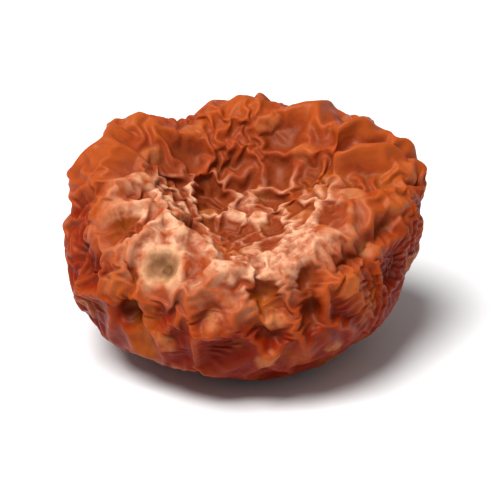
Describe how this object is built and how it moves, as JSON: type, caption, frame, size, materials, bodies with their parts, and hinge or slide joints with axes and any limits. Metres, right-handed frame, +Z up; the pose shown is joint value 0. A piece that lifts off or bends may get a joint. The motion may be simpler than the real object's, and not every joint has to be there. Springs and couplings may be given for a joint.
{
  "type": "dried physalis berry",
  "caption": "Whole dried berry: a squat, wrinkled round with a dished crown, a thick folded rim and a small round stem scar, resting on a flat spot underneath.",
  "frame": {"origin": "under the middle of the berry's bounding box, on the surface it lies on", "axes": "+Z up, -Y towards the side that the dished crown leans to, +X along the widest way across"},
  "size_m": [0.016, 0.0144, 0.0097],
  "materials": {
    "dried_flesh": "dark amber to orange-red dried fruit skin, half glossy, slightly translucent, paler on the crests of its folds"
  },
  "bodies": {
    "root": {"berry": "dried_flesh"}
  },
  "joints": []
}
